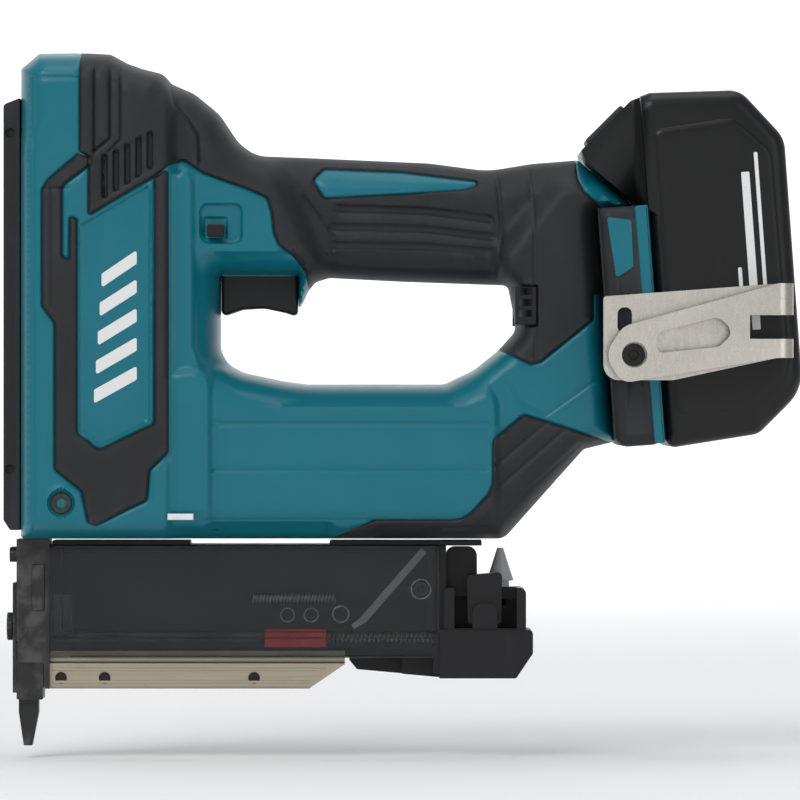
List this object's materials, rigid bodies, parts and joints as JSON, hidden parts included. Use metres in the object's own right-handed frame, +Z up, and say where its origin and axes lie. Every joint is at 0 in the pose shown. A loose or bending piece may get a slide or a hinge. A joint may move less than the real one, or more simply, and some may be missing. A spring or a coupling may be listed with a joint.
{
  "type": "brad nailer",
  "caption": "Cordless pin and brad nailer with a slide-on battery, a lower magazine under the motor tube, a spring-driven blade in a tall front column and a folded belt hook.",
  "frame": {"origin": "the nose tip where the pin leaves, on the driver axis", "axes": "+Z up the driver from the nose, +X back towards the battery, -Y on the side with the belt hook"},
  "size_m": [0.2541, 0.0843, 0.2227],
  "materials": {
    "shell": "satin moulded",
    "soft_grip": "matte grained",
    "black_plastic": "satin",
    "battery_plastic": "semi-gloss",
    "battery_button": "satin",
    "cells": "sleeved",
    "boards": "satin",
    "steel": "bare",
    "black_steel": "black oxide",
    "hook_steel": "polished plating",
    "anodised": "champagne anodised",
    "smoked": "smoked transparent",
    "red": "glossy",
    "lens": "frosted",
    "grey_plastic": "translucent"
  },
  "bodies": {
    "tool": {"housing_left": "shell", "housing_right": "shell", "grip_left": "soft_grip", "grip_right": "soft_grip", "housing_screws": "black_steel", "front_bumper": "soft_grip", "work_lights": "lens", "vent_grilles": "black_plastic", "belt_hook": "hook_steel", "hook_screw": "black_steel", "trigger_pin": "steel", "trigger_switch": "black_plastic", "trigger_spring": "steel", "controller": "black_plastic", "terminal_block": "black_plastic", "motor_can": "black_steel", "motor_bearings": "steel", "gearbox_case": "steel", "gear_axles": "steel", "drive_frame": "black_steel", "guide_rod": "steel", "drive_spring": "steel", "stop_bumper": "soft_grip", "driver_guide": "black_steel", "nose_screws": "black_steel", "contact_spring": "steel", "magazine_rail": "anodised"},
    "lock": {"lock_button": "black_plastic"},
    "trigger": {"trigger": "black_plastic"},
    "switch": {"switch_plunger": "black_plastic"},
    "battery": {"battery_case": "battery_plastic", "battery_cover": "battery_plastic", "battery_cells": "cells", "battery_board": "boards", "button_spring": "steel"},
    "release": {"battery_button": "battery_button"},
    "rotor": {"rotor": "steel", "sun_gear": "steel", "cooling_fan": "black_plastic"},
    "carrier": {"planet_carrier": "steel"},
    "planet_1": {"planet_gear_1": "steel"},
    "planet_2": {"planet_gear_2": "steel"},
    "planet_3": {"planet_gear_3": "steel"},
    "idler": {"idler_gear": "steel"},
    "lifter": {"lifter_gear": "steel"},
    "plunger": {"plunger": "steel", "driver_blade": "steel"},
    "contact": {"contact_tip": "black_steel", "contact_arm": "black_steel"},
    "adjuster": {"depth_adjuster": "black_steel"},
    "magazine": {"magazine_body": "black_plastic", "magazine_cover": "smoked", "lockout_spring": "steel", "end_cap": "black_plastic", "latch_pin": "steel", "latch_spring": "steel", "nose_adapter": "grey_plastic", "pusher_spring": "steel"},
    "pusher": {"pusher": "red"},
    "latch": {"latch_lever": "black_plastic"}
  },
  "joints": [
    {"name": "motor_spin", "type": "hinge", "parent": "tool", "child": "rotor", "pos_m": [0, 0, 0.0944], "axis": [1, 0, 0], "range_deg": [0, 8708.95]},
    {"name": "carrier_spin", "type": "hinge", "parent": "tool", "child": "carrier", "pos_m": [0, 0, 0.0944], "axis": [1, 0, 0], "range_deg": [0, 2179.24]},
    {"name": "planet_1_spin", "type": "hinge", "parent": "carrier", "child": "planet_1", "pos_m": [0, 0.009, 0.0944], "axis": [1, 0, 0], "range_deg": [-6533.71, 0]},
    {"name": "planet_2_spin", "type": "hinge", "parent": "carrier", "child": "planet_2", "pos_m": [0, -0.0045, 0.10219], "axis": [1, 0, 0], "range_deg": [-6533.71, 0]},
    {"name": "planet_3_spin", "type": "hinge", "parent": "carrier", "child": "planet_3", "pos_m": [0, -0.0045, 0.08661], "axis": [1, 0, 0], "range_deg": [-6533.71, 0]},
    {"name": "idler_spin", "type": "hinge", "parent": "tool", "child": "idler", "pos_m": [0.04625, 0, 0.0944], "axis": [0, 1, 0], "range_deg": [-726.75, 0]},
    {"name": "lifter_spin", "type": "hinge", "parent": "tool", "child": "lifter", "pos_m": [0.04425, 0, 0.1143], "axis": [0, 1, 0], "range_deg": [0, 242.42]},
    {"name": "plunger_lift", "type": "slide", "parent": "tool", "child": "plunger", "axis": [0, 0, 1], "range_m": [0, 0.0381], "deforming": ["drive_spring"]},
    {"name": "trigger_pull", "type": "slide", "parent": "tool", "child": "trigger", "axis": [0, 0, 1], "range_m": [0, 0.005], "stiffness_N_per_m": 500, "springref_m": -0.002, "deforming": ["trigger_spring"]},
    {"name": "switch_press", "type": "slide", "parent": "tool", "child": "switch", "axis": [0, 0, 1], "range_m": [0, 0.0051]},
    {"name": "lock_slide", "type": "slide", "parent": "tool", "child": "lock", "axis": [0, 1, 0], "range_m": [0, 0.003]},
    {"name": "contact_press", "type": "slide", "parent": "tool", "child": "contact", "axis": [0, 0, 1], "range_m": [0, 0.005], "stiffness_N_per_m": 400, "springref_m": -0.003, "deforming": ["contact_spring"]},
    {"name": "depth_turn", "type": "hinge", "parent": "contact", "child": "adjuster", "pos_m": [-0.0058, 0, 0.0383], "axis": [-1, 0, 0], "range_deg": [-180, 180]},
    {"name": "magazine_slide", "type": "slide", "parent": "tool", "child": "magazine", "axis": [1, 0, 0], "range_m": [0, 0.08]},
    {"name": "pusher_slide", "type": "slide", "parent": "magazine", "child": "pusher", "axis": [1, 0, 0], "range_m": [0, 0.03], "stiffness_N_per_m": 60, "springref_m": -0.02, "deforming": ["pusher_spring"]},
    {"name": "latch_turn", "type": "hinge", "parent": "magazine", "child": "latch", "pos_m": [0.147, 0, 0.0419], "axis": [0, 1, 0], "range_deg": [0, 8], "stiffness_Nm_per_rad": 0.4, "springref_deg": -8.59},
    {"name": "battery_slide", "type": "slide", "parent": "tool", "child": "battery", "axis": [-0.0732, 0, 0.9973], "range_m": [0, 0.08]},
    {"name": "battery_release", "type": "slide", "parent": "battery", "child": "release", "axis": [0.7077, 0, -0.7065], "range_m": [0, 0.002], "stiffness_N_per_m": 900, "springref_m": -0.002, "deforming": ["button_spring"]}
  ],
  "couplings": [
    {"joint": "carrier_spin", "follows": "motor_spin", "ratio": 0.25},
    {"joint": "planet_1_spin", "follows": "motor_spin", "ratio": -0.75},
    {"joint": "planet_2_spin", "follows": "motor_spin", "ratio": -0.75},
    {"joint": "planet_3_spin", "follows": "motor_spin", "ratio": -0.75},
    {"joint": "idler_spin", "follows": "motor_spin", "ratio": -0.083333},
    {"joint": "lifter_spin", "follows": "motor_spin", "ratio": 0.027778},
    {"joint": "plunger_lift", "follows": "motor_spin", "m_per_rad": 0.00025},
    {"joint": "switch_press", "follows": "trigger_pull", "ratio": 1}
  ]
}
